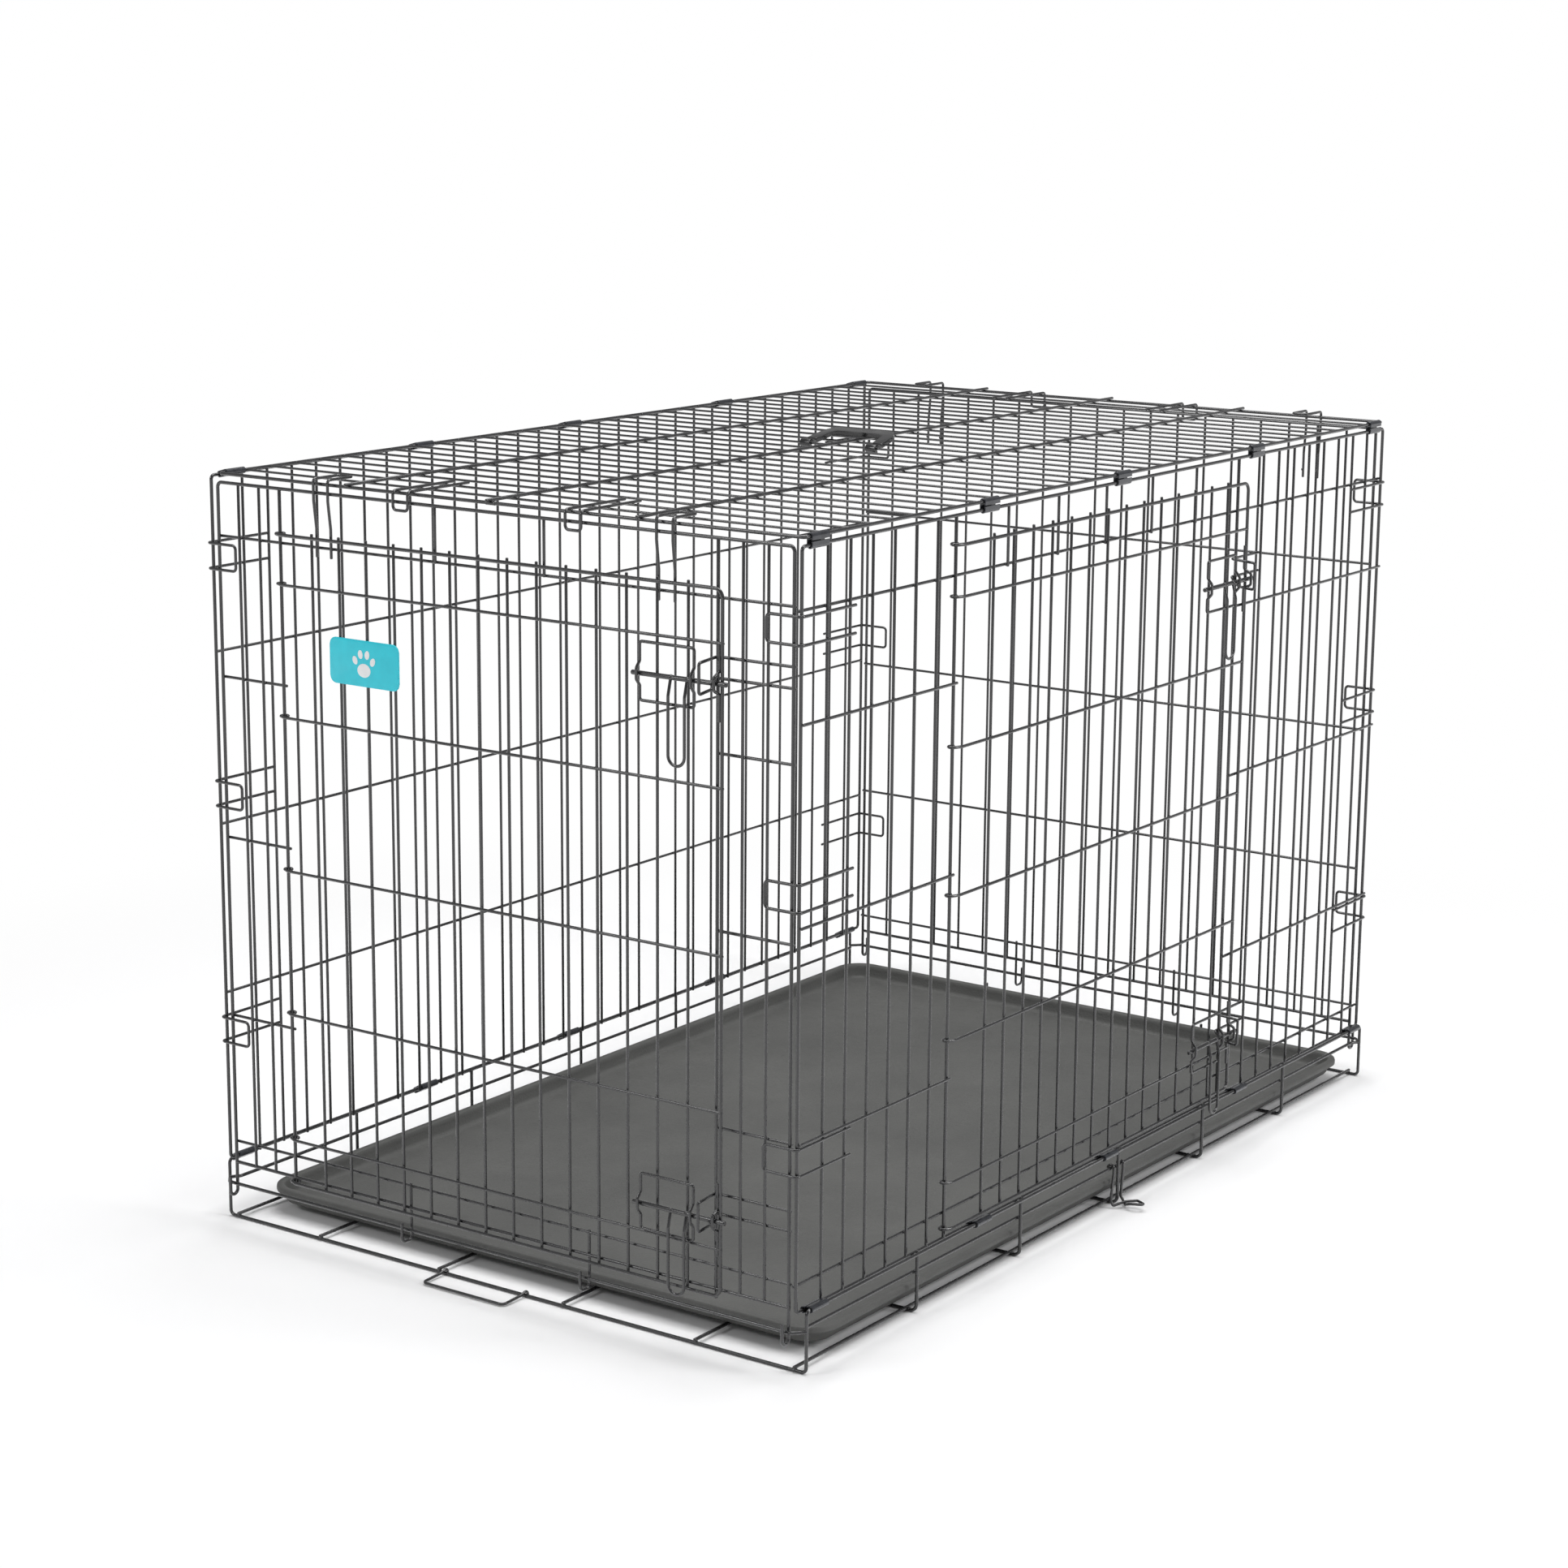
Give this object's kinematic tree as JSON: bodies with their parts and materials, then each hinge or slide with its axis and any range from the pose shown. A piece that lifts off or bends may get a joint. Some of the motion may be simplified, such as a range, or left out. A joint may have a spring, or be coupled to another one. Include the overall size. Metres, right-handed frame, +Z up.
{
  "type": "folding wire dog crate",
  "caption": "Folding wire dog crate with a front and a side door, slide-bolt latches, a slide-out floor pan and a carrying handle.",
  "frame": {"origin": "on the ground, under the middle of the base", "axes": "+Z up, +Y along the crate towards its rear, -Y towards the front door, +X towards the side door"},
  "size_m": [0.7446, 1.1676, 0.7698],
  "materials": {
    "black_wire": "glossy black coating over steel wire",
    "clip_steel": "glossy dark coated sheet steel",
    "pan_plastic": "textured dark grey plastic",
    "grip_plastic": "smooth glossy black plastic",
    "plate_plastic": "cyan plastic with a white paw print"
  },
  "bodies": {
    "crate": {"base_frame": "black_wire", "left_side_panel": "black_wire", "right_side_panel": "black_wire", "top_panel": "black_wire", "left_top_clip_1": "clip_steel", "left_top_clip_2": "clip_steel", "left_top_clip_3": "clip_steel", "left_top_clip_4": "clip_steel", "left_top_clip_5": "clip_steel", "right_top_clip_1": "clip_steel", "right_top_clip_2": "clip_steel", "right_top_clip_3": "clip_steel", "right_top_clip_4": "clip_steel", "right_top_clip_5": "clip_steel", "left_foot_clip_1": "clip_steel", "left_foot_clip_2": "clip_steel", "left_foot_clip_3": "clip_steel", "left_foot_clip_4": "clip_steel", "left_foot_clip_5": "clip_steel", "right_foot_clip_1": "clip_steel", "right_foot_clip_2": "clip_steel", "right_foot_clip_3": "clip_steel", "right_foot_clip_4": "clip_steel", "right_foot_clip_5": "clip_steel"},
    "front_panel": {"front_panel": "black_wire"},
    "rear_panel": {"rear_panel": "black_wire"},
    "front_door": {"front_door": "black_wire", "front_upper_bolt_guide": "black_wire", "front_lower_bolt_guide": "black_wire", "name_plate": "plate_plastic"},
    "side_door": {"side_door": "black_wire", "side_upper_bolt_guide": "black_wire", "side_lower_bolt_guide": "black_wire"},
    "front_upper_bolt": {"front_upper_bolt": "black_wire"},
    "front_lower_bolt": {"front_lower_bolt": "black_wire"},
    "side_upper_bolt": {"side_upper_bolt": "black_wire"},
    "side_lower_bolt": {"side_lower_bolt": "black_wire"},
    "pan": {"pan": "pan_plastic"},
    "pan_stop": {"pan_stop": "black_wire"},
    "fold_latch": {"fold_latch": "black_wire"},
    "handle": {"handle_grip": "grip_plastic", "handle_left_hook": "grip_plastic", "handle_right_hook": "grip_plastic"}
  },
  "joints": [
    {"name": "front_panel_fold", "type": "hinge", "parent": "crate", "child": "front_panel", "pos_m": [0, -0.568, 0.041], "axis": [-1, 0, 0], "range_deg": [0, 86]},
    {"name": "rear_panel_fold", "type": "hinge", "parent": "crate", "child": "rear_panel", "pos_m": [0, 0.568, 0.041], "axis": [1, 0, 0], "range_deg": [0, 89]},
    {"name": "front_door_hinge", "type": "hinge", "parent": "front_panel", "child": "front_door", "pos_m": [-0.259, -0.563, 0.382], "axis": [0, 0, 1], "range_deg": [-155, 0]},
    {"name": "side_door_hinge", "type": "hinge", "parent": "crate", "child": "side_door", "pos_m": [0.3477, -0.3195, 0.3935], "axis": [0, 0, 1], "range_deg": [-160, 0]},
    {"name": "front_upper_bolt_slide", "type": "slide", "parent": "front_door", "child": "front_upper_bolt", "axis": [-1, 0, 0], "range_m": [0, 0.03]},
    {"name": "front_lower_bolt_slide", "type": "slide", "parent": "front_door", "child": "front_lower_bolt", "axis": [-1, 0, 0], "range_m": [0, 0.03]},
    {"name": "side_upper_bolt_slide", "type": "slide", "parent": "side_door", "child": "side_upper_bolt", "axis": [0, -1, 0], "range_m": [0, 0.03]},
    {"name": "side_lower_bolt_slide", "type": "slide", "parent": "side_door", "child": "side_lower_bolt", "axis": [0, -1, 0], "range_m": [0, 0.03]},
    {"name": "pan_slide", "type": "slide", "parent": "crate", "child": "pan", "axis": [0, 1, 0], "range_m": [-0.9, 0]},
    {"name": "pan_stop_turn", "type": "hinge", "parent": "crate", "child": "pan_stop", "pos_m": [-0.02, -0.5575, 0.0017], "axis": [-1, 0, 0], "range_deg": [0, 132]},
    {"name": "fold_latch_turn", "type": "hinge", "parent": "crate", "child": "fold_latch", "pos_m": [0.349, 0.0065, 0.041], "axis": [0, -1, 0], "range_deg": [0, 105]},
    {"name": "handle_turn", "type": "hinge", "parent": "crate", "child": "handle", "pos_m": [0, 0, 0.757], "axis": [1, 0, 0], "range_deg": [0, 150]}
  ]
}
